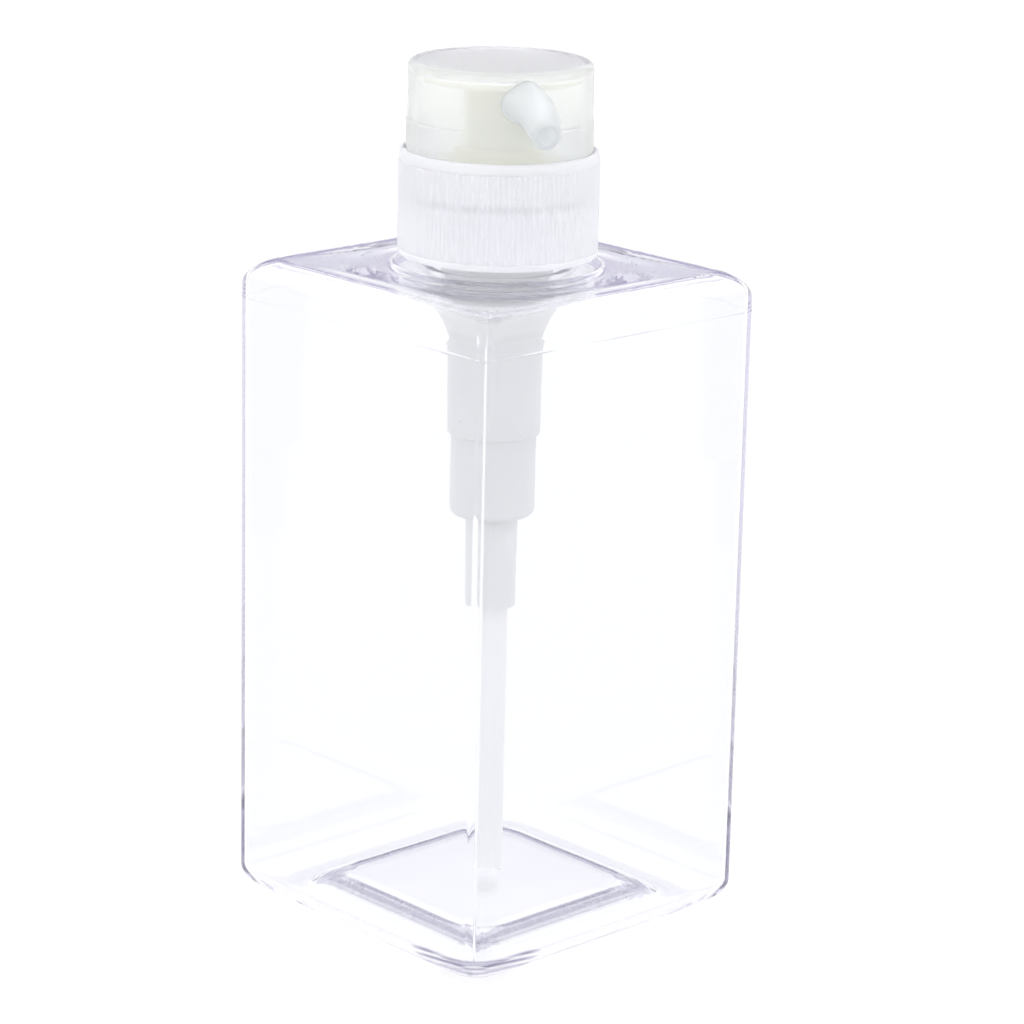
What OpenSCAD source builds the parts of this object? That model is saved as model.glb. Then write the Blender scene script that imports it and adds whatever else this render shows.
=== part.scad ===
// Square clear bottle with a push-down pump for soap or lotion. Sizes are in millimetres.
// The origin is the centre of the base, on the surface that the bottle stands on, and +Z is up.

/* [Bottle] */
// Width of the square body across its flats
side = 70; // [66:1:76]
// Height of the body up to the flat shoulder
body_h = 127.8; // [122:0.2:136]
// Radius of the top and bottom edges of the body
edge_r = 5; // [4:0.5:6]
// Radius of the four upright corners of the body
corner_r = 2.5; // [2:0.5:4]
// Thickness of the side walls
wall = 1.3; // [1:0.1:1.6]
// Thickness of the floor
floor_t = 1.5; // [1.2:0.1:3]
// Height of the neck above the shoulder
neck_h = 16.7; // [16:0.1:18]
// Radius of the hole through the neck
bore_r = 10.9; // [10.8:0.05:11]

/* [Screw thread] */
// Radius of the neck between the turns of its thread
neck_r = 12.65; // [12.6:0.05:12.7]
// Height gained by one full turn
lead = 4.233; // [4:0.001:4.4]
// Number of turns on the neck and in the collar
turns = 1.4; // [1.2:0.1:1.5]

/* [Collar] */
// Outer radius of the collar over its ribs
collar_r = 19; // [18.9:0.05:19.2]
// Number of grip ribs round the collar
rib_count = 120; // [90:1:130]
// Depth of each grip rib
rib_depth = 0.28; // [0.2:0.02:0.3]

/* [Head] */
// Distance that the head can be pushed down
stroke = 5.4; // [4:0.1:5.4]
// Height of the head's top above the rim of the neck
head_rise = 22.3; // [22.3:0.1:23]
// Outer radius of the head at its top
head_r = 17.4; // [17.3:0.05:17.45]
// Direction in which the spout points, turned from the front face about +Z
spout_turn = -23.5; // [-180:0.5:180]
// Distance of the spout's tip from the centre line
spout_reach = 25.5; // [25:0.1:27]
// Angle at which the outlet points down
outlet_tilt = 12; // [8:1:16]

/* [Pump] */
// Radius of the bore that the piston slides in
chamber_r = 6.5; // [6.4:0.05:6.6]
// Radius of the hollow stem
stem_r = 3.3; // [3.2:0.05:3.3]
// Outer radius of the dip tube
tube_r = 2.98; // [2.9:0.01:2.98]
// Radius of the spring wire
wire_r = 0.35; // [0.3:0.05:0.45]
// Mean radius of the spring's coils
spring_r = 2.9; // [2.7:0.1:3]

/* [Hidden] */
$fn = 96;

half = side / 2;
// The push-up under the base: how far it is inset from the sides, and how high it rises
push_inset = 13.6;
push_h = 1.3;
// The draft of the push-up's sloping sides, and how much further out they stand on the inside
push_slope = 2.2;
push_skin = 0.6;

// Levels, from the neck upwards
rim_z = body_h + neck_h;
gasket_top = rim_z + 1;
flange_top = gasket_top + 1.4;
web_bottom = flange_top + 0.1;
web_top = web_bottom + 1.3;
cap_ring_bottom = web_top + 0.1;
cap_ring_top = cap_ring_bottom + 1.2;
turret_top = rim_z + 7.5;
collar_bottom = body_h + 2.4;
collar_top = rim_z + 5.8;
rib_bottom = collar_bottom + 1.2;
rib_top = collar_top - 2.1;
slot_floor = rim_z - 2.2;
head_top = rim_z + head_rise;
head_ceiling = head_top - 2;
seam_z = collar_top + 5.5;
skirt_bottom = collar_top - 1.7;

// Radii of the neck, the collar and the head
crest_r = neck_r + 1;
thread_wall_in = crest_r + 0.3;
thread_wall_out = thread_wall_in + 1.25;
collar_wall_in = 17.98;
web_hole_r = 8.3;
skirt_r = head_r + 0.26;
skirt_in = 16;

// Levels of the pump, downwards from the rim of the neck
guide_top = rim_z + 1;
guide_bottom = guide_top - 2;
seal_bottom = guide_bottom - 1.2;
neck_part_bottom = rim_z - 19.5;
cone_bottom = rim_z - 31.5;
sleeve_bottom = rim_z - 49.1;
chamber_floor = rim_z - 64.2;
cup_bottom = chamber_floor - 1.3;
socket_bottom = chamber_floor - 19.5;
throat_top = chamber_floor - 5.7;
seat_top = throat_top + 1.8;
tube_stop = throat_top - 2.6;
tube_end = 5.5;

// Radii of the pump
sleeve_r = 8.44;
cup_r = 7.72;
socket_r = 4.57;
chaplet_r = 7.95;
turret_r = 8.2;
turret_in = 7;
throat_r = 1.4;
ball_room_r = 2.6;
inlet_ball_r = 2.1;
outlet_ball_r = 1.5;
fit_gap = 0.05;

// Levels of the piston set at the top of its stroke
cage_top = chamber_floor + 1.3;
seat_bottom = rim_z - 41.1;
piston_seat_top = seat_bottom + 3.6;
piston_bottom = piston_seat_top + 1.6;
piston_top = piston_bottom + 6.4;
stem_tip = seat_bottom + 1.2;
stem_top = rim_z + 14.5;
core_bottom = turret_top - 0.8;
duct_z = rim_z + 16.8;
tip_z = rim_z + 12.35;

// Height of a ball's centre over the foot of a conical seat that it rests in
function ball_rest(ball, foot_r, mouth_r, depth) =
    let (a = atan2(mouth_r - foot_r, depth))
    (ball * cos(a) - foot_r) / tan(a) + ball * sin(a) + 0.03;

inlet_ball_z = throat_top + ball_rest(inlet_ball_r, throat_r, ball_room_r, 1.8);
outlet_seat_z = stem_top - 1;
outlet_ball_z = outlet_seat_z + ball_rest(outlet_ball_r, 1, 1.9, 1);

function arc(x, y, r, from, to, n = 8) =
    [for (i = [0:n]) let (a = from + (to - from) * i / n) [x + r * cos(a), y + r * sin(a)]];

// A plain ring round the centre line
module ring(r_in, r_out, z_low, z_high) {
    rotate_extrude() translate([r_in, z_low]) square([r_out - r_in, z_high - z_low]);
}

module rounded_rect(w, h, r) {
    translate([r, 0]) square([w - 2 * r, h]);
    translate([0, r]) square([w, h - 2 * r]);
    for (x = [r, w - r], y = [r, h - r]) translate([x, y]) circle(r);
}

// A square column with rounded edges all round, standing on z = 0
module cushion_box(w, h, r_edge, r_corner) {
    intersection() {
        translate([-w / 2, -w / 2, 0]) linear_extrude(h) rounded_rect(w, w, r_corner);
        rotate([90, 0, 0]) translate([-w / 2, 0, -w]) linear_extrude(2 * w) rounded_rect(w, h, r_edge);
        rotate([90, 0, 90]) translate([-w / 2, 0, -w]) linear_extrude(2 * w) rounded_rect(w, h, r_edge);
    }
}

// A low square frustum: half-width low at z_low and high at z_high
module frustum(low, high, z_low, z_high) {
    outline = [[-low, z_low], [low, z_low], [high, z_high], [-high, z_high]];
    intersection() {
        rotate([90, 0, 0]) translate([0, 0, -half]) linear_extrude(side) polygon(outline);
        rotate([90, 0, 90]) translate([0, 0, -half]) linear_extrude(side) polygon(outline);
    }
}

// A helical ridge: trapezoid section, rising by lead each turn and fading out at both ends
module thread_ridge(root_r, tip_r, z_low) {
    n = ceil(turns * 40);
    fade = 5;
    root_w = 1.15;
    tip_w = 0.55;
    profile = tip_r > root_r ? [3, 2, 1, 0] : [0, 1, 2, 3];
    points = [for (i = [0:n])
        let (a = 360 * turns * i / n,
             z = z_low + lead * turns * i / n,
             r = root_r + (tip_r - root_r) * max(0.3, min(1, i / fade, (n - i) / fade)),
             corners = [[root_r, z - root_w], [r, z - tip_w], [r, z + tip_w], [root_r, z + root_w]])
        for (k = profile) [corners[k][0] * cos(a), corners[k][0] * sin(a), corners[k][1]]];
    faces = concat(
        [[0, 1, 2, 3]],
        [for (i = [0:n - 1], k = [0:3])
            let (next = (k + 1) % 4) [i * 4 + k, i * 4 + 4 + k, i * 4 + 4 + next, i * 4 + next]],
        [[n * 4 + 3, n * 4 + 2, n * 4 + 1, n * 4]]);
    polyhedron(points, faces, convexity = 6);
}

// Carries children that point along +X round to the spout's direction
module towards_spout() {
    rotate([0, 0, spout_turn - 90]) children();
}

// A rod along +X from x_low to x_high at height z
module rod(r, x_low, x_high, z) {
    translate([x_low, 0, z]) rotate([0, 90, 0]) cylinder(r = r, h = x_high - x_low);
}

module neck_outline() {
    foot = body_h - wall;
    plateau = body_h + 0.7;
    sweep = 3.2;
    polygon(concat(
        [[0, foot], [20.4, foot], [20.4, body_h], [19.9, plateau], [neck_r + sweep, plateau]],
        arc(neck_r + sweep, plateau + sweep, sweep, 270, 180),
        [[neck_r, rim_z - 0.4], [neck_r - 0.4, rim_z], [0, rim_z]]));
}

module neck_hole() {
    ceiling = body_h - wall;
    sweep = 3;
    polygon(concat(
        [[0, ceiling - 2], [bore_r + sweep, ceiling - 2], [bore_r + sweep, ceiling]],
        arc(bore_r + sweep, ceiling + sweep, sweep, 270, 180),
        [[bore_r, rim_z + 1], [0, rim_z + 1]]));
}

module bottle() {
    push_top = half - push_inset - push_slope;
    color([0.9, 0.89, 0.95, 0.35]) difference() {
        union() {
            cushion_box(side, body_h, edge_r, corner_r);
            rotate_extrude() neck_outline();
            thread_ridge(neck_r - 0.25, crest_r, rim_z - 8.4);
        }
        difference() {
            translate([0, 0, floor_t])
                cushion_box(side - 2 * wall, body_h - floor_t - wall, edge_r - wall, corner_r - wall + 0.3);
            frustum(push_top + push_skin + push_slope * (1 + floor_t / push_h), push_top + push_skin,
                    0, push_h + floor_t);
        }
        rotate_extrude() neck_hole();
        frustum(half - push_inset + push_slope, push_top, -push_h, push_h);
    }
}

module neck_gasket() {
    color("whitesmoke") ring(bore_r + 0.2, neck_r + 0.7, rim_z, gasket_top);
}

// The ribbed band: a ring whose outer edge is a row of square-topped teeth
module grip_ribs() {
    root = collar_r - rib_depth;
    step = 360 / rib_count;
    teeth = [for (i = [0:rib_count - 1], k = [[0, root], [0.3, root], [0.42, collar_r], [0.88, collar_r]])
        let (a = (i + k[0]) * step) [k[1] * cos(a), k[1] * sin(a)]];
    translate([0, 0, rib_bottom]) linear_extrude(rib_top - rib_bottom) difference() {
        polygon(teeth);
        circle(collar_wall_in);
    }
}

module collar_outline() {
    band_r = collar_r - 0.1;
    soft = 1.2;
    polygon(concat(
        [[collar_wall_in, rib_top], [band_r, rib_top]],
        arc(band_r - soft / 2, collar_top - soft, soft / 2, 0, 30, 3),
        arc(collar_wall_in + 0.55, collar_top - 0.35, 0.35, 45, 90, 4),
        [[collar_wall_in + 0.2, collar_top], [collar_wall_in, collar_top - 0.3]]));
}

module collar() {
    color([0.93, 0.93, 0.97, 0.7]) union() {
        grip_ribs();
        rotate_extrude() collar_outline();
        ring(collar_wall_in, collar_r - 0.15, collar_bottom, rib_bottom);
        ring(thread_wall_in, thread_wall_out, collar_bottom + 0.8, web_top);
        ring(web_hole_r, thread_wall_in, web_bottom, web_top);
        ring(thread_wall_out, collar_wall_in, slot_floor - 1.3, slot_floor);
        thread_ridge(thread_wall_in + 0.25, neck_r + 0.3, rim_z - 10.4);
    }
}

module housing_outline() {
    round_r = 1.5;
    polygon(concat(
        [[tube_r + 0.02, socket_bottom], [socket_r - 0.2, socket_bottom], [socket_r, cup_bottom]],
        arc(cup_r - round_r, cup_bottom + round_r, round_r, 270, 360),
        [[cup_r, sleeve_bottom - 0.3], [sleeve_r, sleeve_bottom], [sleeve_r + 0.15, cone_bottom],
         [bore_r - 0.3, neck_part_bottom], [bore_r - 0.3, gasket_top],
         [neck_r + 0.6, gasket_top], [neck_r + 0.6, flange_top],
         [chaplet_r + fit_gap, flange_top], [chaplet_r + fit_gap, cone_bottom + 3],
         [chamber_r, cone_bottom + 1.5], [chamber_r, chamber_floor],
         [ball_room_r, chamber_floor], [ball_room_r, seat_top], [throat_r, throat_top],
         [throat_r, tube_stop], [tube_r + 0.02, tube_stop]]));
}

// The small hole that lets air in to replace the soap that has been pumped out
module air_vent() {
    rod(0.5, 6, 14, rim_z - 13);
}

module pump_housing() {
    color([0.92, 0.93, 0.94, 0.8]) difference() {
        rotate_extrude() housing_outline();
        air_vent();
    }
}

// The guide that snaps into the housing through the collar and holds the three together
module chaplet() {
    foot = cone_bottom + 3.1;
    cap_ring_r = 11.2;
    tube_in = chamber_r + 0.1;
    guide_r = stem_r + 0.1;
    color([0.95, 0.94, 0.86]) difference() {
        rotate_extrude()
            polygon([[tube_in, foot], [chaplet_r, foot], [chaplet_r, cap_ring_bottom],
                     [cap_ring_r, cap_ring_bottom], [cap_ring_r, cap_ring_top], [turret_r, cap_ring_top],
                     [turret_r, turret_top - 0.3], [turret_r - 0.3, turret_top],
                     [turret_in, turret_top], [turret_in, guide_top], [guide_r, guide_top],
                     [guide_r, guide_bottom], [tube_in, guide_bottom]]);
        air_vent();
    }
}

module stem_seal() {
    color("white") rotate_extrude()
        polygon([[stem_r + 0.06, seal_bottom + 0.4], [stem_r + 0.5, seal_bottom],
                 [chamber_r, seal_bottom], [chamber_r, guide_bottom], [stem_r + 0.06, guide_bottom]]);
}

// The perforated disc that keeps the inlet ball down and carries the spring
module ball_cage() {
    color("white") difference() {
        union() {
            ring(0, chamber_r - 0.1, chamber_floor, cage_top - 0.3);
            ring(0, spring_r - wire_r - 0.2, cage_top - 0.3, cage_top + 1.5);
        }
        for (a = [0:60:300]) rotate([0, 0, a])
            translate([4.6, 0, chamber_floor - 1]) cylinder(r = 0.9, h = 4, $fn = 24);
        translate([0, 0, chamber_floor - 1]) cylinder(r = 1, h = 5, $fn = 24);
        ring(3.2, 5.4, chamber_floor - 1, chamber_floor + 0.45);
        for (a = [0, 60, 120]) rotate([0, 0, a])
            translate([-5, -0.5, chamber_floor - 1]) cube([10, 1, 1.45]);
    }
}

module inlet_ball() {
    color("silver") translate([0, 0, inlet_ball_z]) sphere(inlet_ball_r);
}

module outlet_ball() {
    color("silver") translate([0, 0, outlet_ball_z]) sphere(outlet_ball_r);
}

// The tube's lower end is cut at a slant so that it can't seal itself against the floor
module dip_tube() {
    color([0.93, 0.93, 0.95, 0.75]) difference() {
        ring(tube_r - 0.75, tube_r, tube_end, tube_stop - fit_gap);
        translate([0, 0, tube_end]) rotate([0, 30, 45]) translate([-10, -10, -10]) cube([20, 20, 10]);
    }
}

// A helix of round wire with one closed coil at each end
module return_spring() {
    coils = 9;
    per_coil = 16;
    sides = 6;
    n = coils * per_coil;
    z_low = cage_top - 0.3 + wire_r;
    z_high = seat_bottom - wire_r;
    dead = 2 * wire_r * 1.05;
    live = (z_high - z_low - 2 * dead) / (coils - 2);
    function height(t) = t < 1 ? dead * t
        : t < coils - 1 ? dead + live * (t - 1)
        : dead + live * (coils - 2) + dead * (t - coils + 1);
    points = [for (i = [0:n], k = [0:sides - 1])
        let (a = 360 * i / per_coil, b = -360 * k / sides, r = spring_r + wire_r * cos(b))
        [r * cos(a), r * sin(a), z_low + height(i / per_coil) + wire_r * sin(b)]];
    faces = concat(
        [[for (k = [0:sides - 1]) k]],
        [for (i = [0:n - 1], k = [0:sides - 1])
            let (next = (k + 1) % sides)
            [i * sides + k, (i + 1) * sides + k, (i + 1) * sides + next, i * sides + next]],
        [[for (k = [sides - 1:-1:0]) n * sides + k]]);
    color("gray") polyhedron(points, faces, convexity = 10);
}

// A double-lipped piston: thin skirts above and below a web, on a central sleeve
module piston() {
    sleeve_in = stem_r - 0.65;
    lip = chamber_r - fit_gap;
    web = piston_bottom + 2.6;
    color("white") rotate_extrude()
        polygon([[sleeve_in, piston_bottom], [sleeve_in + 0.9, piston_bottom], [sleeve_in + 0.9, web],
                 [5.5, web], [lip - 0.7, piston_bottom + 0.3], [lip, piston_bottom + 0.3],
                 [lip, piston_bottom + 1.1], [6.2, web], [6.2, web + 1.2], [lip, piston_top - 1.2],
                 [lip, piston_top - 0.4], [lip - 0.7, piston_top - 0.4], [5.5, web + 1.2],
                 [sleeve_in + 0.9, web + 1.2], [sleeve_in + 0.9, piston_top], [sleeve_in, piston_top]]);
}

// The plug on the stem's foot: it opens and shuts the way into the stem, and the spring lifts it
module piston_seat() {
    hole_r = stem_r - 0.65;
    color("whitesmoke") rotate_extrude()
        polygon([[0, seat_bottom], [4.6, seat_bottom], [4.6, seat_bottom + 1],
                 [hole_r + 1.3, seat_bottom + 1.6], [hole_r + 1, piston_seat_top],
                 [hole_r, piston_seat_top], [hole_r, stem_tip - 0.05], [0, stem_tip - 0.05]]);
}

module stem() {
    foot_r = stem_r - 0.7;
    hollow_r = 1.7;
    color([0.95, 0.95, 0.93]) difference() {
        union() {
            ring(0, foot_r, stem_tip, piston_top + 0.05);
            ring(0, stem_r, piston_top + 0.05, stem_top);
            ring(0, 5.2, seal_bottom - 1.3, seal_bottom - 0.1);
        }
        ring(0, hollow_r, stem_tip + 1, stem_top - 3);
        ring(0, 1, stem_top - 4, stem_top);
        rotate_extrude() polygon([[0, outlet_seat_z], [1, outlet_seat_z], [1.9, stem_top], [0, stem_top + 0.01]]);
        for (a = [0, 90]) rotate([0, 0, a])
            translate([-4, 0, piston_seat_top + 0.8]) rotate([0, 90, 0]) cylinder(r = 0.6, h = 8, $fn = 24);
    }
}

// The inside of the head: a boss on the stem, a disc under the shell and an arm that feeds the spout
module head_core() {
    arm_r = 3.25;
    color([0.97, 0.96, 0.84]) difference() {
        union() {
            ring(0, 6.7, core_bottom, head_ceiling - fit_gap);
            ring(0, 14.8, head_ceiling - 1.5, head_ceiling - fit_gap);
            towards_spout() rod(arm_r, 0, 14, duct_z);
        }
        ring(0, stem_r + 0.01, core_bottom - 1, stem_top + 0.01);
        ring(0, 2.2, stem_top - 0.5, duct_z + 1.5);
        ring(stem_r + 1.2, 5.6, core_bottom - 1, duct_z - arm_r - 1);
        towards_spout() {
            rod(1.3, 0, 13, duct_z);
            rod(2.4, 9, 15, duct_z);
        }
    }
}

module shell_outline() {
    soft = 1.3;
    polygon(concat(
        [[0, head_ceiling], [skirt_in - 0.4, head_ceiling], [skirt_in - 0.25, seam_z], [skirt_in, seam_z - 0.3],
         [skirt_in, skirt_bottom], [skirt_r, skirt_bottom], [skirt_r, seam_z - 0.15],
         [head_r + 0.1, seam_z]],
        arc(head_r - soft, head_top - soft, soft, 0, 90),
        [[0, head_top]]));
}

// The spout's root: an upright oval, wide by high, swept along +X
module oval(wide, high, x_low, x_high, z) {
    for (y = [-1, 1]) translate([0, y * (wide - high) / 2, 0]) rod(high / 2, x_low, x_high, z);
    translate([x_low, -(wide - high) / 2, z - high / 2]) cube([x_high - x_low, wide - high, high]);
}

module head_shell() {
    color([0.93, 0.94, 0.94, 0.6]) difference() {
        rotate_extrude() shell_outline();
        towards_spout() oval(12, 8.5, 10, 20, duct_z);
    }
}

// A thin upright disc, wide by high, for the spout's body to be stretched between
module spout_section(x, z, wide, high, tilt = 0) {
    translate([x, 0, z]) rotate([0, 90 + tilt, 0]) scale([high / 2, wide / 2, 1])
        translate([0, 0, -0.1]) cylinder(r = 1, h = 0.1, $fn = 40);
}

module spout() {
    root = head_r + 0.2;
    color([0.95, 0.96, 0.97, 0.85]) towards_spout() difference() {
        union() {
            difference() {
                oval(11.9, 8.4, 14, root, duct_z);
                ring(0, skirt_in - 0.45, duct_z - 10, duct_z + 10);
            }
            rod(2.35, 9.05, 16.5, duct_z);
            hull() {
                spout_section(root, duct_z, 11, 8.2);
                spout_section(root + 2.6, duct_z - 0.5, 8.6, 7.6);
            }
            hull() {
                spout_section(root + 2.6, duct_z - 0.5, 8.6, 7.6);
                spout_section(spout_reach - 2.4, tip_z + 1.4, 6.5, 6.4, outlet_tilt);
            }
            hull() {
                spout_section(spout_reach - 2.4, tip_z + 1.4, 6.5, 6.4, outlet_tilt);
                spout_section(spout_reach, tip_z, 5.7, 5.7, outlet_tilt);
            }
        }
        rod(1.3, 8, 20.4, duct_z);
        translate([20, 0, duct_z]) rotate([0, 125, 0]) cylinder(r = 1.1, h = 4.2);
        translate([spout_reach, 0, tip_z]) rotate([0, 90 + outlet_tilt, 0])
            translate([0, 0, -3.6]) cylinder(r = 1.8, h = 5);
    }
}

bottle();
neck_gasket();
collar();
pump_housing();
chaplet();
stem_seal();
ball_cage();
inlet_ball();
dip_tube();
return_spring();
piston();
piston_seat();
stem();
outlet_ball();
head_core();
head_shell();
spout();
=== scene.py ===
import math

import bmesh
import bpy
from mathutils import Matrix, Vector


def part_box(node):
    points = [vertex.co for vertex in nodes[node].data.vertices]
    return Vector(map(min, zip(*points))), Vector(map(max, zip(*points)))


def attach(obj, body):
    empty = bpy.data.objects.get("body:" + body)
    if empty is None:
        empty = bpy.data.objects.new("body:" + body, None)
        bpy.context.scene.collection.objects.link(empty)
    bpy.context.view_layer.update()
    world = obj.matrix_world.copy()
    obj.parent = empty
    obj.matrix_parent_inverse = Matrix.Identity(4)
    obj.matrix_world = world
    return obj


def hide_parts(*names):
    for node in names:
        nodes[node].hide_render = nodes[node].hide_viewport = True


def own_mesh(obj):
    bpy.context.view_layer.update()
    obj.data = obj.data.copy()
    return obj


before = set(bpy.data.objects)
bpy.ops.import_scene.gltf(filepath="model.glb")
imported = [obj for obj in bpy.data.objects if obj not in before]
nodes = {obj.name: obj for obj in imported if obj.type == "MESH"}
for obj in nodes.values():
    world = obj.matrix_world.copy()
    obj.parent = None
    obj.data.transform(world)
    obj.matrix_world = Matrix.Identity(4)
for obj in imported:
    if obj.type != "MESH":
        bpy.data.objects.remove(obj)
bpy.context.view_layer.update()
print("frame loaded:", len(nodes), "nodes")

mm = 0.001

# Levels and radii that several pieces share, read from the CAD nodes so that they always fit it
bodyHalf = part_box("bottle")[1].x / mm
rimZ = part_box("bottle")[1].z / mm
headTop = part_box("head_shell")[1].z / mm
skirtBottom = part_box("head_shell")[0].z / mm
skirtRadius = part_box("head_shell")[1].x / mm
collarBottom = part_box("collar")[0].z / mm
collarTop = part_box("collar")[1].z / mm
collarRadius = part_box("collar")[1].x / mm
spoutTurn = -23.5    # degrees from the front face, about +Z
threadLead = 4.233
threadTurns = 1.4
threadHeight = 1.0


# ---- mesh helpers

def finishPiece(name, bm, material, body, replaced, sharpAngle):
    bmesh.ops.remove_doubles(bm, verts=bm.verts, dist=0.0005)
    bmesh.ops.recalc_face_normals(bm, faces=bm.faces)
    bmesh.ops.scale(bm, vec=(mm, mm, mm), verts=bm.verts)
    mesh = bpy.data.meshes.new(name)
    bm.to_mesh(mesh)
    bm.free()
    mesh.polygons.foreach_set("use_smooth", [True] * len(mesh.polygons))
    mesh.set_sharp_from_angle(angle=math.radians(sharpAngle))
    mesh.materials.append(material)
    piece = bpy.data.objects.new(name, mesh)
    bpy.context.scene.collection.objects.link(piece)
    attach(piece, body)
    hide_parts(*replaced)
    print("made", name, len(mesh.polygons), "faces")
    return piece


def arcPoints(x, y, radius, start, end, steps):
    turn = math.radians(end - start) / steps
    first = math.radians(start)
    return [(x + radius * math.cos(first + turn * i), y + radius * math.sin(first + turn * i))
            for i in range(steps + 1)]


def spinProfile(bm, points, steps):
    # Turns a radius-height outline, open where it meets the axis, into a solid of revolution about Z
    verts = [bm.verts.new((x, 0, z)) for x, z in points]
    edges = [bm.edges.new(pair) for pair in zip(verts, verts[1:])]
    bmesh.ops.spin(bm, geom=verts + edges, cent=(0, 0, 0), axis=(0, 0, 1), dvec=(0, 0, 0),
                   angle=math.tau, steps=steps, use_merge=True, use_duplicate=False)


def sweepRings(bm, count, stations, place, closed=False):
    # Extrudes one ring of edges from station to station; place(station, i) says where vertex i goes
    made = bmesh.ops.create_circle(bm, cap_ends=False, radius=1, segments=count)
    ring = sorted(made["verts"], key=lambda v: math.atan2(v.co.y, v.co.x) % math.tau)
    firstRing = ring
    for number, station in enumerate(stations):
        if number:
            edges = [bm.edges.get((ring[i], ring[(i + 1) % count])) for i in range(count)]
            made = bmesh.ops.extrude_edge_only(bm, edges=edges)["geom"]
            fresh = set(v for v in made if isinstance(v, bmesh.types.BMVert))
            nextRing = []
            for v in ring:
                linked = [e.other_vert(v) for e in v.link_edges if e.other_vert(v) in fresh]
                nextRing.append(linked[0])
            ring = nextRing
        for i, v in enumerate(ring):
            v.co = place(station, i)
    if closed:
        edges = [bm.edges.get((r[i], r[(i + 1) % count])) for r in (ring, firstRing) for i in range(count)]
        bmesh.ops.bridge_loops(bm, edges=edges)
    return firstRing, ring


def closePole(bm, ring, z):
    bmesh.ops.pointmerge(bm, verts=ring, merge_co=(0, 0, z))


def ridgeHeight(angle, z, low, rootHalf=1.15, tipHalf=0.55):
    # 0 between the turns of a screw thread, 1 on its crest, fading out at both ends
    best = 0
    for turn in range(int(threadTurns) + 1):
        along = angle / math.tau + turn
        if along > threadTurns:
            continue
        offset = abs(z - low - threadLead * along)
        rise = min(1, max(0, (rootHalf - offset) / (rootHalf - tipHalf)))
        fade = min(1, along / 0.12, (threadTurns - along) / 0.12)
        best = max(best, rise * max(0, fade))
    return best


# ---- shader helpers

def wire(tree, value, socket):
    # Links an output, or sets a plain number or vector
    if isinstance(value, bpy.types.NodeSocket):
        tree.links.new(value, socket)
    else:
        socket.default_value = value


def sums(tree, operation, *values):
    node = tree.nodes.new("ShaderNodeMath")
    node.operation = operation
    for value, socket in zip(values, node.inputs):
        wire(tree, value, socket)
    return node.outputs[0]


def remap(tree, value, low, high, start=0.0, end=1.0, soft=False):
    node = tree.nodes.new("ShaderNodeMapRange")
    if soft:
        node.interpolation_type = "SMOOTHSTEP"
    given = {"Value": value, "From Min": low, "From Max": high, "To Min": start, "To Max": end}
    for label, number in given.items():
        wire(tree, number, node.inputs[label])
    return node.outputs["Result"]


def mixColours(tree, factor, first, second):
    node = tree.nodes.new("ShaderNodeMix")
    node.data_type = "RGBA"
    wire(tree, factor, node.inputs["Factor"])
    for label, colour in (("A", first), ("B", second)):
        plain = isinstance(colour, tuple)
        wire(tree, (*colour, 1) if plain else colour, node.inputs[label])
    return node.outputs["Result"]


def noise(tree, vector, scale, detail, distortion=0.0):
    node = tree.nodes.new("ShaderNodeTexNoise")
    given = {"Vector": vector, "Scale": scale, "Detail": detail, "Distortion": distortion}
    for label, value in given.items():
        wire(tree, value, node.inputs[label])
    return node.outputs["Fac"]


def bump(tree, height, strength, distance):
    node = tree.nodes.new("ShaderNodeBump")
    node.inputs["Strength"].default_value = strength
    node.inputs["Distance"].default_value = distance
    wire(tree, height, node.inputs["Height"])
    return node.outputs["Normal"]


def newMaterial(name):
    material = bpy.data.materials.new(name)
    material.use_nodes = True
    tree = material.node_tree
    coords = tree.nodes.new("ShaderNodeTexCoord")
    return material, tree, tree.nodes["Principled BSDF"], coords.outputs["Object"]


def mouldedGroup():
    # Moulded plastic: slow flow marks, a fine skin and a sparse scatter of fine scratches
    group = bpy.data.node_groups.new("mouldedSkin", "ShaderNodeTree")
    face = group.interface
    face.new_socket("Vector", in_out="INPUT", socket_type="NodeSocketVector")
    for label, value in (("Flow Scale", 60.0), ("Grain Scale", 900.0), ("Base Roughness", 0.3),
                         ("Roughness Spread", 0.1), ("Scratch Amount", 0.3)):
        face.new_socket(label, in_out="INPUT", socket_type="NodeSocketFloat").default_value = value
    for label in ("Dark Colour", "Light Colour"):
        face.new_socket(label, in_out="INPUT", socket_type="NodeSocketColor")
    face.new_socket("Colour", in_out="OUTPUT", socket_type="NodeSocketColor")
    face.new_socket("Roughness", in_out="OUTPUT", socket_type="NodeSocketFloat")
    face.new_socket("Height", in_out="OUTPUT", socket_type="NodeSocketFloat")
    given = group.nodes.new("NodeGroupInput").outputs
    out = group.nodes.new("NodeGroupOutput").inputs

    flow = noise(group, given["Vector"], given["Flow Scale"], 3, 0.6)
    grain = noise(group, given["Vector"], given["Grain Scale"], 2)
    stretch = group.nodes.new("ShaderNodeMapping")
    stretch.inputs["Scale"].default_value = (30, 900, 45)
    stretch.inputs["Rotation"].default_value = (0.4, 0.3, 0.7)
    wire(group, given["Vector"], stretch.inputs["Vector"])
    lines = remap(group, noise(group, stretch.outputs["Vector"], 1, 1), 0.66, 0.72)
    marks = sums(group, "MULTIPLY", lines, given["Scratch Amount"])

    wire(group, mixColours(group, flow, given["Dark Colour"], given["Light Colour"]), out["Colour"])
    rough = sums(group, "MULTIPLY_ADD", grain, given["Roughness Spread"], given["Base Roughness"])
    wire(group, sums(group, "MULTIPLY_ADD", marks, 0.25, rough), out["Roughness"])
    height = sums(group, "MULTIPLY_ADD", grain, 0.25, flow)
    wire(group, sums(group, "SUBTRACT", height, marks), out["Height"])
    return group


mouldedSkin = mouldedGroup()


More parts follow.
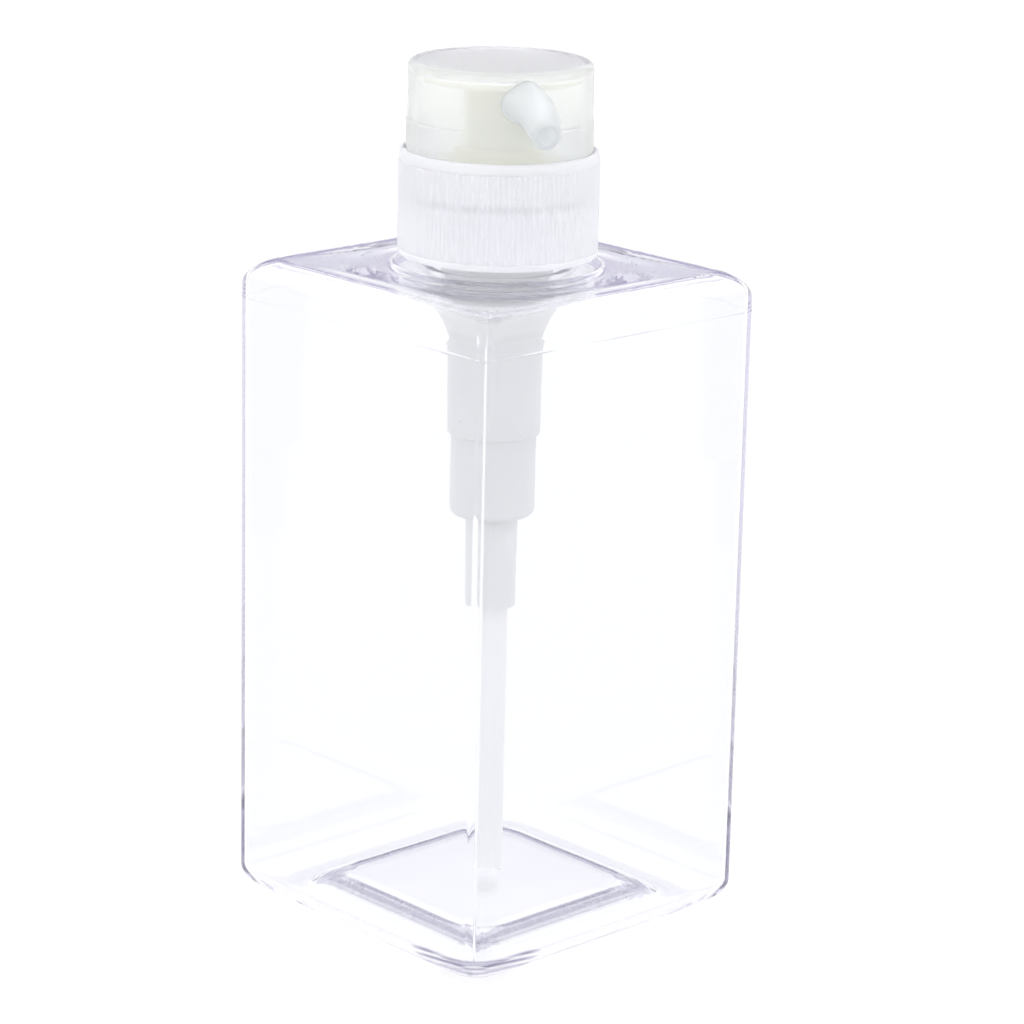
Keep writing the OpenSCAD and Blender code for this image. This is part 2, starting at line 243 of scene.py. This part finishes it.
def plasticMaterial(name, dark, light, roughness, transmission=0.0, ior=1.49, spread=0.1, flowScale=60,
                    grainScale=900, scratches=0.3, relief=0.02, subsurface=0.0, metallic=0.0):
    material, tree, shader, coords = newMaterial(name)
    skin = tree.nodes.new("ShaderNodeGroup")
    skin.node_tree = mouldedSkin
    given = {"Vector": coords, "Flow Scale": flowScale, "Grain Scale": grainScale,
             "Base Roughness": roughness, "Roughness Spread": spread, "Scratch Amount": scratches,
             "Dark Colour": (*dark, 1), "Light Colour": (*light, 1)}
    for label, value in given.items():
        wire(tree, value, skin.inputs[label])
    wire(tree, skin.outputs["Colour"], shader.inputs["Base Color"])
    wire(tree, skin.outputs["Roughness"], shader.inputs["Roughness"])
    wire(tree, bump(tree, skin.outputs["Height"], relief, 0.5 * mm), shader.inputs["Normal"])
    shader.inputs["IOR"].default_value = ior
    shader.inputs["Transmission Weight"].default_value = transmission
    shader.inputs["Metallic"].default_value = metallic
    if subsurface:
        shader.inputs["Subsurface Weight"].default_value = subsurface
        shader.inputs["Subsurface Radius"].default_value = (1.0, 1.0, 0.9)
        shader.inputs["Subsurface Scale"].default_value = 4 * mm
    return material


# ---- camera, floor and light

cameraSpec = {
    "place": (-0.46147, -0.49414, 0.27280),
    "turn": (74.0119, -1.2440, -43.0131),    # degrees
    "lens": 128.112,
}
lightSpec = {
    "horizon": (1.0, 1.0, 1.0),
    "softbox": (1.4, 1.4, 1.42),        # overhead and on the camera's side
    "darkRoom": (0.41, 0.38, 0.56),     # above the backdrop, behind the bottle
    "backwards": (0.682, 0.731, 0.0),   # the level direction from the camera to the bottle
    "floorGlow": 0.88,
    "floorColour": (0.97, 0.97, 0.98),
}

cameraData = bpy.data.cameras.new("camera")
cameraData.lens = cameraSpec["lens"]
cameraData.sensor_width = 36
cameraData.clip_start = 0.05
cameraData.clip_end = 20
camera = bpy.data.objects.new("camera", cameraData)
camera.location = cameraSpec["place"]
camera.rotation_euler = [math.radians(a) for a in cameraSpec["turn"]]
bpy.context.scene.collection.objects.link(camera)
bpy.context.scene.camera = camera
bpy.context.scene.view_settings.view_transform = "Standard"

world = bpy.data.worlds.new("studio")
bpy.context.scene.world = world
world.use_nodes = True
sky = world.node_tree
skyCoords = sky.nodes.new("ShaderNodeTexCoord")
split = sky.nodes.new("ShaderNodeSeparateXYZ")
sky.links.new(skyCoords.outputs["Generated"], split.inputs["Vector"])

behind = sky.nodes.new("ShaderNodeVectorMath")
behind.operation = "DOT_PRODUCT"
behind.inputs[1].default_value = lightSpec["backwards"]
sky.links.new(skyCoords.outputs["Generated"], behind.inputs[0])
height = split.outputs["Z"]
climb = remap(sky, height, 0.05, 0.45, soft=True)
bright = mixColours(sky, climb, lightSpec["horizon"], lightSpec["softbox"])
# The dark room fills a band of heights, only straight behind the bottle
upper = remap(sky, height, 0.42, 0.62, 1.0, 0.0, soft=True)
band = sums(sky, "MULTIPLY", remap(sky, height, 0.06, 0.16, soft=True), upper)
band = sums(sky, "MULTIPLY", band, remap(sky, behind.outputs["Value"], 0.88, 0.97, soft=True))
sky.links.new(mixColours(sky, band, bright, lightSpec["darkRoom"]), sky.nodes["Background"].inputs["Color"])

# Light runs far inside the clear walls, so it gets many bounces and keeps them sharp
bounces = bpy.context.scene.cycles
bounces.max_bounces = 128
bounces.transmission_bounces = 128
bounces.glossy_bounces = 128
bounces.diffuse_bounces = 16
bounces.blur_glossy = 0
bounces.sample_clamp_indirect = 8


def makeFloor():
    bm = bmesh.new()
    bmesh.ops.create_circle(bm, cap_ends=True, radius=4, segments=64)
    bmesh.ops.translate(bm, vec=(0, 0, -0.0002), verts=bm.verts)
    mesh = bpy.data.meshes.new("floor")
    bm.to_mesh(mesh)
    bm.free()
    floor = bpy.data.objects.new("floor", mesh)
    bpy.context.scene.collection.objects.link(floor)
    material, _, shader, _ = newMaterial("paleFloor")
    shader.inputs["Base Color"].default_value = (0.16, 0.16, 0.16, 1)
    shader.inputs["Roughness"].default_value = 0.9
    shader.inputs["Specular IOR Level"].default_value = 0
    shader.inputs["Emission Color"].default_value = (*lightSpec["floorColour"], 1)
    shader.inputs["Emission Strength"].default_value = lightSpec["floorGlow"]
    mesh.materials.append(material)


makeFloor()
print("camera, floor and light set")


# ---- bottle

bottleSpec = {
    "wall": 1.3,
    "floor": 1.5,
    "edge": 5.0,           # radius of the top and bottom edges
    "corner": 2.5,         # radius of the upright corners
    "topCorner": 6.6,      # corner radius where the flat top begins
    "baseCorner": 9.0,     # the same under the base
    "bodyTop": 127.8,
    "dish": 1.5,           # how far the base rises before the raised panel begins
    "dishHalf": 26.5,      # half width of the dish at the standing ring
    "pushHalf": 22.6,      # half width of the raised panel, lower edge
    "pushRise": 1.3,
    "pushDraft": 1.9,
    "heel": 3.7,           # inside radius at the bottom edge
    "heelCorner": 12.0,    # inside corner radius at the floor, where the plastic is thick
    "partingLine": 120.5,
    "seam": 0.12,          # ridge that the mould leaves down two opposite corners
    "neck": 12.65,
    "bore": 10.9,
    "threadStart": 8.4,    # below the rim
    "sideSteps": 17,
    "cornerSteps": 24,
}


def squareRadius(angle, half, corner):
    # Distance from the centre to a rounded square's edge, in the direction angle
    a = abs((angle + math.pi / 4) % (math.pi / 2) - math.pi / 4)
    centre = half - corner
    if half * math.tan(a) <= centre:
        return half / math.cos(a)
    reach = centre * (math.cos(a) + math.sin(a))
    return reach + math.sqrt(max(0, reach * reach - 2 * centre * centre + corner * corner))


def ringAngles(spec):
    # Close together round the upright corners, wider along the flat sides
    half = math.atan2(spec["corner"], 2 * bodyHalf - spec["corner"]) * 1.02
    quarter = [-half * 1.3]
    quarter += [-half + 2 * half * i / spec["cornerSteps"] for i in range(spec["cornerSteps"] + 1)]
    first, last = half * 1.3, math.pi / 2 - half * 1.3
    quarter += [first + (last - first) * i / spec["sideSteps"] for i in range(spec["sideSteps"])]
    return [(math.pi / 4 + k * math.pi / 2 + a) % math.tau for k in range(4) for a in quarter]


def makeBottle(spec, material):
    top, wall, edge = spec["bodyTop"], spec["wall"], spec["edge"]
    flat = bodyHalf - edge
    push, draft, dish = spec["pushHalf"], spec["pushDraft"], spec["dish"]
    rise = dish + spec["pushRise"]
    stations = []    # each is (half width, corner radius, height, how much thread shows)

    def add(half, corner, z, thread=0):
        stations.append((half, min(half, corner), z, thread))

    # Underside: raised panel, its sloping side, the dish, the standing ring and the bottom edge
    bend = ((0.5, 0.0), (0.15, 0.04), (-0.15, 0.13), (-0.5, 0.3))
    for half in (1, 4, 9, 14, 17.2):
        add(half, 4, rise)
    for x, z in bend:
        add(push - draft - x, 7.5, rise - z)
    for x, z in reversed(bend):
        add(push + x, 5.5, dish + z)
    for x, z in ((-1.6, 0.6), (-0.6, 0.22), (0.4, 0.03), (1.2, 0)):
        add(spec["dishHalf"] + x, 7.5, dish * z)
    add(flat - 0.4, spec["baseCorner"] - 0.6, 0)
    for i in range(13):
        t = math.radians(90 * i / 12)
        corner = spec["baseCorner"] + (spec["corner"] - spec["baseCorner"]) * math.sin(t) ** 1.3
        add(flat + edge * math.sin(t), corner, edge * (1 - math.cos(t)))
    # Sides, with the mould's parting line round the top
    line = spec["partingLine"]
    for z in (edge + 0.5, 20, 45, 70, 95, 112, line - 0.35, line - 0.15):
        add(bodyHalf, spec["corner"], z)
    add(bodyHalf + 0.07, spec["corner"], line - 0.05)
    add(bodyHalf + 0.07, spec["corner"], line + 0.05)
    for z in (line + 0.15, line + 0.35, top - edge - 0.4):
        add(bodyHalf, spec["corner"], z)
    for i in range(13):
        t = math.radians(90 * i / 12)
        corner = spec["corner"] + (spec["topCorner"] - spec["corner"]) * (1 - math.cos(t)) ** 0.8
        add(bodyHalf - edge + edge * math.cos(t), corner, top - edge + edge * math.sin(t))
    # The top, dished a little, grows round towards the neck's foot
    for i in range(1, 13):
        t = i / 12
        half = flat + (20.6 - flat) * t
        corner = spec["topCorner"] + (half - spec["topCorner"]) * t
        add(half, corner, top - 0.35 * math.sin(math.pi * t) ** 2)
    for x, z in ((20.35, 0.08), (20.1, 0.4), (19.85, 0.62), (19.4, 0.7), (18, 0.7), (16.6, 0.7)):
        add(x, 99, top + z)
    for x, z in arcPoints(spec["neck"] + 3.2, top + 3.9, 3.2, 270, 180, 8):
        add(x, 99, z)
    z = top + 4.4
    while z < rimZ - 0.9:
        add(spec["neck"], 99, z, 1)
        z += 0.27
    for x, z in ((0, 0.6), (0, 0.42), (0.08, 0.2), (0.2, 0.06), (0.42, 0), (1.2, 0)):
        add(spec["neck"] - x, 99, rimZ - z)
    outside = len(stations)
    # Down the bore and over the inside
    for x, z in ((0.15, 0), (0.04, 0.06), (0, 0.25), (0, 4), (0, 9), (0, 14)):
        add(spec["bore"] + x, 99, rimZ - z)
    ceiling = top - wall
    for x, z in arcPoints(spec["bore"] + 3, ceiling + 3, 3, 180, 270, 7):
        add(x, 99, z)
    innerEdge = edge - wall
    innerFlat = bodyHalf - wall - innerEdge
    innerCorner = spec["corner"] - wall + 0.5
    for i in range(1, 11):
        t = i / 10
        half = spec["bore"] + 3 + (innerFlat - spec["bore"] - 3) * t
        corner = half + (spec["topCorner"] - 1 - half) * t
        add(half, corner, ceiling - 0.35 * math.sin(math.pi * t) ** 2)
    for i in range(1, 11):
        t = math.radians(90 * i / 10)
        corner = spec["topCorner"] - 1 + (innerCorner - spec["topCorner"] + 1) * math.sin(t) ** 1.2
        add(innerFlat + innerEdge * math.sin(t), corner, ceiling - innerEdge * (1 - math.cos(t)))
    heel, floor = spec["heel"], spec["floor"]
    for z in (line, 112, 95, 70, 45, 20, floor + heel + 0.5):
        add(bodyHalf - wall, innerCorner, z)
    heelFlat = bodyHalf - wall - heel
    for i in range(13):
        t = math.radians(90 * i / 12)
        corner = innerCorner + (spec["heelCorner"] - innerCorner) * (1 - math.cos(t)) ** 0.8
        add(heelFlat + heel * math.cos(t), corner, floor + heel * (1 - math.sin(t)))
    foot = push + 0.5
    for x, z in ((1.0, 0), (0.2, 0.03), (-0.8, 0.22), (-1.8, 0.6)):
        add(spec["dishHalf"] + x, 9 + x, floor + dish * z)
    for x, z in bend:
        add(foot + x, 5.5, floor + dish + z)
    for x, z in reversed(bend):
        add(foot - draft - x, 7.5, floor + rise - z)
    for half in (17, 14, 9, 4, 1):
        add(half, 4, floor + rise)

    angles = ringAngles(spec)
    seamAngles = (math.pi / 4, 5 * math.pi / 4)
    seamVerts = [i for i, a in enumerate(angles) if min(abs(a - b) for b in seamAngles) < 0.001]

    def place(station, i):
        number, (half, corner, z, thread) = station
        angle = angles[i]
        reach = squareRadius(angle, half, corner)
        if thread:
            reach += threadHeight * ridgeHeight(angle, z, rimZ - spec["threadStart"])
        elif i in seamVerts and number < outside and half > push + 2:
            reach += spec["seam"]
        return Vector((reach * math.cos(angle), reach * math.sin(angle), z))

    bm = bmesh.new()
    firstRing, lastRing = sweepRings(bm, len(angles), list(enumerate(stations)), place)
    closePole(bm, lastRing, stations[-1][2])
    closePole(bm, firstRing, stations[0][2])
    return finishPiece("bottle_shell", bm, material, "bottle", ["bottle"], sharpAngle=75)


wallFinish = {
    "colour": (0.966, 0.970, 0.986),
    "paintedShadeColour": (0.34, 0.32, 0.45),     # painted shade, on the rough step and in the thick corner
    "inside": (0.42, 0.36, 0.72),          # what the plastic lets through
    "density": 2.5,
    "ior": 1.57,
    "relief": 0.5,                         # how strongly the swells and rings bend the light
    "reliefDepth": 0.1,
    "swellScale": 55,
    "ringPeriod": 1.05,                    # fine rings in the top, round the neck, in mm
    "ringHeight": 0.06,
    "ringStart": (20.5, 22.5),             # none at the first radius, full at the second
    "ringEnd": (37, 31),
    "ringLevel": (126.2, 127.0),
    "hazeScale": 120,
    "haze": 0.05,
    "streakScale": 900,
    "stepRoughness": 0.3,
    "shadeBandPeriod": 1.3,                    # bands of painted shade in the thick corner, in mm
    "shadeBandSlope": -0.12,
    "cornerStart": 54,                     # where x + y reaches this, towards the corner
    "cornerTop": 4.4,
}


def clearWall(look, shape):
    material, tree, shader, coords = newMaterial("clearViolet")
    split = tree.nodes.new("ShaderNodeSeparateXYZ")
    wire(tree, coords, split.inputs["Vector"])
    x, y, z = split.outputs
    level = tree.nodes.new("ShaderNodeCombineXYZ")
    wire(tree, x, level.inputs["X"])
    wire(tree, y, level.inputs["Y"])
    plan = level.outputs["Vector"]
    length = tree.nodes.new("ShaderNodeVectorMath")
    length.operation = "LENGTH"
    wire(tree, plan, length.inputs[0])
    distance = length.outputs["Value"]

    def between(value, low, high, blend):
        # 1 from low to high, in mm, and 0 a little past them
        rise = remap(tree, value, (low - blend) * mm, low * mm)
        fall = remap(tree, value, (high + blend) * mm, high * mm)
        return sums(tree, "MULTIPLY", rise, fall)

    # Slow swells left by blowing, and fine rings in the top round the neck
    rings = sums(tree, "SINE", sums(tree, "MULTIPLY", distance, math.tau / (look["ringPeriod"] * mm)))
    for value, span in ((z, "ringLevel"), (distance, "ringStart"), (distance, "ringEnd")):
        first, last = look[span]
        rings = sums(tree, "MULTIPLY", rings, remap(tree, value, first * mm, last * mm))
    swell = noise(tree, coords, look["swellScale"], 1.5)
    total = sums(tree, "MULTIPLY_ADD", rings, look["ringHeight"], swell)
    wire(tree, bump(tree, total, look["relief"], look["reliefDepth"] * mm), shader.inputs["Normal"])

    # Handling haze, hardly there
    haze = noise(tree, coords, look["hazeScale"], 4)
    veil = remap(tree, haze, 0.45, 0.75, 0.0, look["haze"])

    # The step round the floor's panel is left rough by the mould, with fine streaks; its darker violet tint
    # is painted shade, the dark band its faces show by reflection
    outer = shape["pushHalf"] + 0.2
    panelTop = shape["floor"] + shape["dish"] + shape["pushRise"] + 0.3
    reach = sums(tree, "MAXIMUM", sums(tree, "ABSOLUTE", x), sums(tree, "ABSOLUTE", y))
    step = sums(tree, "MULTIPLY", between(reach, outer - shape["pushDraft"], outer, 0.3),
                between(z, -1, panelTop, 0.4))
    streaks = remap(tree, noise(tree, plan, look["streakScale"], 3), 0.25, 0.75, 0.55, 1.0)
    roughStepAndShade = sums(tree, "MULTIPLY", step, streaks)

    # In the bottom corner towards the camera, where the plastic is thick at the seam's foot, wavy violet
    # bands are painted shade: the dark crescent the thick corner shows
    cornerward = sums(tree, "MULTIPLY", sums(tree, "ADD", x, y), -1.0)
    bent = sums(tree, "MULTIPLY_ADD", cornerward, look["shadeBandSlope"], z)
    waves = sums(tree, "SINE", sums(tree, "MULTIPLY", bent, math.tau / (look["shadeBandPeriod"] * mm)))
    foot = sums(tree, "MULTIPLY", between(cornerward, look["cornerStart"], 200, 2),
                between(z, -1, look["cornerTop"], 0.6))
    paintedCornerShade = sums(tree, "MULTIPLY", foot, remap(tree, waves, -0.4, 0.5, 0.1, 1.0))

    # The dark violet mixed in on the step and in the front corner is painted shade
    tintWithPaintedShade = mixColours(tree, sums(tree, "MAXIMUM", roughStepAndShade, paintedCornerShade), look["colour"], look["paintedShadeColour"])
    wire(tree, tintWithPaintedShade, shader.inputs["Base Color"])
    rough = sums(tree, "MULTIPLY_ADD", roughStepAndShade, look["stepRoughness"], veil)
    wire(tree, rough, shader.inputs["Roughness"])
    shader.inputs["Transmission Weight"].default_value = 1
    shader.inputs["IOR"].default_value = look["ior"]
    absorb = tree.nodes.new("ShaderNodeVolumeAbsorption")
    absorb.inputs["Color"].default_value = (*look["inside"], 1)
    absorb.inputs["Density"].default_value = look["density"]
    wire(tree, absorb.outputs["Volume"], tree.nodes["Material Output"].inputs["Volume"])
    return material


makeBottle(bottleSpec, clearWall(wallFinish, bottleSpec))


# ---- collar

collarSpec = {
    "ribs": 120,
    "ribDepth": 0.27,
    "facesPerRib": 6,
    "ribLow": 1.25,        # above the collar's lower edge
    "ribHigh": 2.15,       # below the collar's rim
    "wallInside": 17.98,
    "threadInside": 13.95,
    "threadOutside": 15.2,
    "webHole": 8.3,
    "webTop": 148.3,
    "webBottom": 147.0,
    "slotFloor": 142.3,
    "slotUnder": 141.0,
    "threadStart": 10.4,   # below the bottle's rim
}


def makeCollar(spec, material):
    count = spec["ribs"] * spec["facesPerRib"]
    low, high = collarBottom + spec["ribLow"], collarTop - spec["ribHigh"]
    band = collarRadius - 0.1
    inside, threadIn, threadOut = spec["wallInside"], spec["threadInside"], spec["threadOutside"]
    stations = []    # (radius, height, rib depth, thread)

    def add(x, z, rib=0.0, thread=0.0):
        stations.append((x, z, rib, thread))

    add(collarRadius - 0.35, collarBottom)
    add(collarRadius - 0.14, collarBottom + 0.12)
    add(collarRadius - 0.06, collarBottom + 0.35)
    add(collarRadius - 0.06, low - 0.35)
    add(collarRadius - 0.1, low - 0.12)
    add(collarRadius - spec["ribDepth"], low)
    for z, rib in ((0.15, 0.5), (0.4, 1), (4, 1), (8, 1), (12, 1)):
        add(collarRadius - spec["ribDepth"], low + z, rib)
    add(collarRadius - spec["ribDepth"], high - 0.4, 1)
    add(collarRadius - spec["ribDepth"], high - 0.15, 0.5)
    add(collarRadius - spec["ribDepth"], high)
    add(band - 0.04, high + 0.12)
    add(band, high + 0.3)
    add(band, collarTop - 1.25)
    for x, z in arcPoints(band - 0.75, collarTop - 0.8, 0.75, 0, 75, 6):
        add(x, z)
    add(inside + 0.22, collarTop)
    add(inside + 0.06, collarTop - 0.06)
    add(inside, collarTop - 0.25)
    add(inside, spec["slotFloor"] + 0.3)
    add(inside - 0.3, spec["slotFloor"])
    add(threadOut + 0.3, spec["slotFloor"])
    add(threadOut, spec["slotFloor"] + 0.3)
    add(threadOut, spec["webTop"] - 0.3)
    add(threadOut - 0.3, spec["webTop"])
    add(spec["webHole"] + 0.2, spec["webTop"])
    add(spec["webHole"], spec["webTop"] - 0.2)
    add(spec["webHole"], spec["webBottom"] + 0.2)
    add(spec["webHole"] + 0.2, spec["webBottom"])
    add(threadIn - 0.4, spec["webBottom"])
    add(threadIn, spec["webBottom"] - 0.4)
    z = spec["webBottom"] - 4
    while z > collarBottom + 1.6:
        add(threadIn, z, 0, 1)
        z -= 0.3
    add(threadIn, collarBottom + 1.0)
    add(threadIn + 0.2, collarBottom + 0.8)
    add(threadOut - 0.2, collarBottom + 0.8)
    add(threadOut, collarBottom + 1.0)
    add(threadOut, spec["slotUnder"] - 0.3)
    add(threadOut + 0.3, spec["slotUnder"])
    add(inside - 0.3, spec["slotUnder"])
    add(inside, spec["slotUnder"] - 0.3)
    add(inside, collarBottom + 0.2)
    add(inside + 0.15, collarBottom)
    shape = (0.0, 0.0, 0.55, 1.0, 1.0, 0.55)    # one rib, across its faces

    def place(station, i):
        x, z, rib, thread = station
        angle = math.tau * i / count
        x += spec["ribDepth"] * rib * shape[i % spec["facesPerRib"]]
        if thread:
            x -= threadHeight * ridgeHeight(angle, z, rimZ - spec["threadStart"])
        return Vector((x * math.cos(angle), x * math.sin(angle), z))

    bm = bmesh.new()
    sweepRings(bm, count, stations, place, closed=True)
    return finishPiece("collar_ribbed", bm, material, "collar", ["collar"], sharpAngle=50)


milkyCollar = plasticMaterial("milkyCollar", (0.968, 0.97, 0.997), (0.984, 0.986, 1.0), 0.28,
                              transmission=0.5, flowScale=90, relief=0.0, spread=0.02, scratches=0.0)
makeCollar(collarSpec, milkyCollar)


# ---- head shell

headSpec = {
    "topRadius": 17.4,
    "softness": 1.3,       # radius of the top's rim
    "seam": 155.8,
    "ceiling": 2.0,        # thickness of the top
    "inside": 16.0,
    "insideHigh": 15.6,
}


def makeHeadShell(spec, material):
    radius, soft, seam = spec["topRadius"], spec["softness"], spec["seam"]
    ceiling = headTop - spec["ceiling"]
    outline = [(0, ceiling), (8, ceiling), (13, ceiling)]
    outline += arcPoints(spec["insideHigh"] - 0.6, ceiling - 0.6, 0.6, 90, 0, 5)
    outline += [(spec["insideHigh"], seam + 0.5), (spec["insideHigh"] + 0.1, seam),
                (spec["inside"], seam - 0.4), (spec["inside"], skirtBottom + 0.3),
                (spec["inside"] + 0.1, skirtBottom + 0.08), (spec["inside"] + 0.3, skirtBottom),
                (skirtRadius - 0.3, skirtBottom), (skirtRadius - 0.08, skirtBottom + 0.08),
                (skirtRadius, skirtBottom + 0.3), (skirtRadius, 151), (skirtRadius - 0.04, seam - 0.35),
                (skirtRadius - 0.05, seam - 0.12), (skirtRadius - 0.12, seam - 0.02),
                (radius + 0.06, seam + 0.03), (radius + 0.05, seam + 0.15), (radius + 0.04, seam + 0.4),
                (radius, headTop - soft - 3), (radius, headTop - soft - 0.3)]
    outline += arcPoints(radius - soft, headTop - soft, soft, 0, 90, 8)
    outline += [(radius - soft - 0.5, headTop), (12, headTop - 0.03), (6, headTop - 0.05),
                (0, headTop - 0.05)]
    bm = bmesh.new()
    spinProfile(bm, outline, 144)
    return finishPiece("head_cap", bm, material, "head", ["head_shell"], sharpAngle=50)


milkyHead = plasticMaterial("milkyHead", (0.975, 0.984, 0.978), (0.99, 0.998, 0.992), 0.24,
                            transmission=0.8, ior=1.38, flowScale=70, relief=0.0, spread=0.02,
                            scratches=0.0)
makeHeadShell(headSpec, milkyHead)


# ---- spout

spoutSpec = {
    # distance from the centre line, height, width, height of section, tilt in degrees
    "sections": ((15.7, 161.3, 9.4, 8.3, 0), (17.0, 161.3, 9.4, 8.3, 0), (17.5, 161.3, 8.9, 8.2, 3),
                 (18.0, 161.25, 8.5, 8.1, 8), (18.9, 161.1, 8.1, 7.95, 16), (20.0, 160.75, 7.7, 7.7, 24),
                 (21.2, 160.15, 7.3, 7.35, 31), (22.4, 159.35, 6.9, 6.95, 34),
                 (23.4, 158.5, 6.55, 6.6, 32), (24.3, 157.7, 6.25, 6.25, 25),
                 (25.0, 157.12, 5.95, 5.95, 17), (25.3, 156.92, 5.85, 5.85, 13)),
    "mouth": (25.5, 156.85),    # distance and height of the outlet's centre
    "mouthTilt": 12,
    "rootEnd": 24.5,       # the root's own shape fades out by here, from this far back
    "rootLength": 7,
    "rootShift": -0.9,     # the root sits a little to one side of the outlet
    "ridge": 0.45,         # how much narrower the root is along its top
    "bore": 1.8,
    "duct": 1.3,
    "count": 40,
}


def makeSpout(spec, material):
    count = spec["count"]
    turn = Matrix.Rotation(math.radians(spoutTurn - 90), 3, "Z")
    stations = list(spec["sections"])
    endX, endZ = spec["mouth"]
    lean = math.radians(spec["mouthTilt"])
    outlet, duct = 2 * spec["bore"], 2 * spec["duct"]
    # Rounded lip, then back down the outlet and the duct
    for forward, size in ((-0.12, 5.7), (-0.03, 5.5), (0, 5.2), (0, outlet + 0.5), (-0.04, outlet + 0.15),
                          (-0.2, outlet), (-3.2, outlet)):
        x, z = endX + math.cos(lean) * forward, endZ - math.sin(lean) * forward
        stations.append((x, z, size, size, spec["mouthTilt"]))
    stations += [(21.6, 158.4, duct + 0.2, duct + 0.2, 30), (20.2, 160.0, duct, duct, 40),
                 (18.6, 161.0, duct, duct, 18), (15.7, 161.3, duct, duct, 0)]

    def place(station, i):
        x, z, wide, high, tilt = station
        angle = math.tau * i / count
        side, up = math.cos(angle) * wide / 2, math.sin(angle) * high / 2
        outside = wide > outlet + 0.4
        root = min(1, max(0, (spec["rootEnd"] - x) / spec["rootLength"])) * outside
        side *= 1 - spec["ridge"] * root * max(0, math.sin(angle)) ** 2
        side += spec["rootShift"] * root
        lean = math.radians(tilt)
        return turn @ Vector((x + up * math.sin(lean), side, z + up * math.cos(lean)))

    bm = bmesh.new()
    sweepRings(bm, count, stations, place, closed=True)
    return finishPiece("spout_nozzle", bm, material, "head", ["spout"], sharpAngle=60)


milkySpout = plasticMaterial("milkySpout", (0.90, 0.92, 0.93), (0.925, 0.942, 0.952), 0.26,
                             transmission=0.62, flowScale=120, relief=0.0, spread=0.06)
makeSpout(spoutSpec, milkySpout)


# ---- finishes on the CAD nodes that stay

def dress(node, material):
    mesh = nodes[node].data
    mesh.materials.clear()
    mesh.materials.append(material)


dress("head_core", plasticMaterial("creamCore", (0.85, 0.85, 0.75), (0.89, 0.89, 0.80), 0.42,
                                   transmission=0.1, subsurface=0.4, flowScale=110, relief=0.06))
dress("chaplet", plasticMaterial("creamGuide", (0.86, 0.85, 0.72), (0.91, 0.90, 0.78), 0.42,
                                 transmission=0.15, subsurface=0.3, flowScale=110, relief=0.06))
dress("pump_housing", plasticMaterial("milkyHousing", (0.86, 0.86, 0.865), (0.90, 0.90, 0.90), 0.25,
                                      transmission=0.35, flowScale=80, relief=0.0))
dress("dip_tube", plasticMaterial("milkyTube", (0.86, 0.86, 0.865), (0.89, 0.89, 0.89), 0.3,
                                  transmission=0.1, flowScale=50, relief=0.0))
dress("stem", plasticMaterial("milkyStem", (0.90, 0.90, 0.90), (0.94, 0.94, 0.93), 0.35,
                              transmission=0.3, flowScale=100, relief=0.04))
whiteInsert = plasticMaterial("whiteInsert", (0.84, 0.84, 0.85), (0.90, 0.90, 0.90), 0.4,
                              subsurface=0.2, flowScale=120, relief=0.06)
for node in ("ball_cage", "piston", "piston_seat"):
    dress(node, whiteInsert)
whiteSeal = plasticMaterial("whiteSeal", (0.80, 0.80, 0.78), (0.87, 0.87, 0.85), 0.6,
                            subsurface=0.2, flowScale=200, relief=0.1)
for node in ("neck_gasket", "stem_seal"):
    dress(node, whiteSeal)
ballSteel = plasticMaterial("ballSteel", (0.62, 0.63, 0.65), (0.70, 0.71, 0.73), 0.08, metallic=1.0,
                            spread=0.05, flowScale=300, relief=0.01)
for node in ("inlet_ball", "outlet_ball"):
    dress(node, ballSteel)


# ---- return spring

springSpec = {
    "coils": 9,
    "meanRadius": 2.9,
    "wire": 0.35,
    "low": 81.3,
    "high": 103.4,
    "stepsPerCoil": 24,
    "sides": 10,
    "stroke": 5.4,
}


def makeSpring(spec, material):
    steps, thick = spec["stepsPerCoil"], spec["wire"]
    dead = 2 * thick * 1.05                    # rise of the closed coil at each end
    live = (spec["high"] - spec["low"] - 2 * thick - 2 * dead) / (spec["coils"] - 2)

    def height(turn):
        if turn < 1:
            return dead * turn
        if turn < spec["coils"] - 1:
            return dead + live * (turn - 1)
        return dead + live * (spec["coils"] - 2) + dead * (turn - spec["coils"] + 1)

    def place(turn, i):
        angle, around = math.tau * turn, math.tau * i / spec["sides"]
        reach = spec["meanRadius"] + thick * math.cos(around)
        z = spec["low"] + thick + height(turn) + thick * math.sin(around)
        return Vector((reach * math.cos(angle), reach * math.sin(angle), z))

    bm = bmesh.new()
    turns = [i / steps for i in range(spec["coils"] * steps + 1)]
    for ring in sweepRings(bm, spec["sides"], turns, place):
        bmesh.ops.contextual_create(bm, geom=list(ring))
    spring = finishPiece("spring_coil", bm, material, "pump", ["return_spring"],
                         sharpAngle=60)
    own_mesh(spring)


springSteel = plasticMaterial("springSteel", (0.20, 0.21, 0.24), (0.30, 0.31, 0.34), 0.3, metallic=1.0,
                              spread=0.15, flowScale=400, grainScale=2500, relief=0.05)
makeSpring(springSpec, springSteel)
print("finishes set")
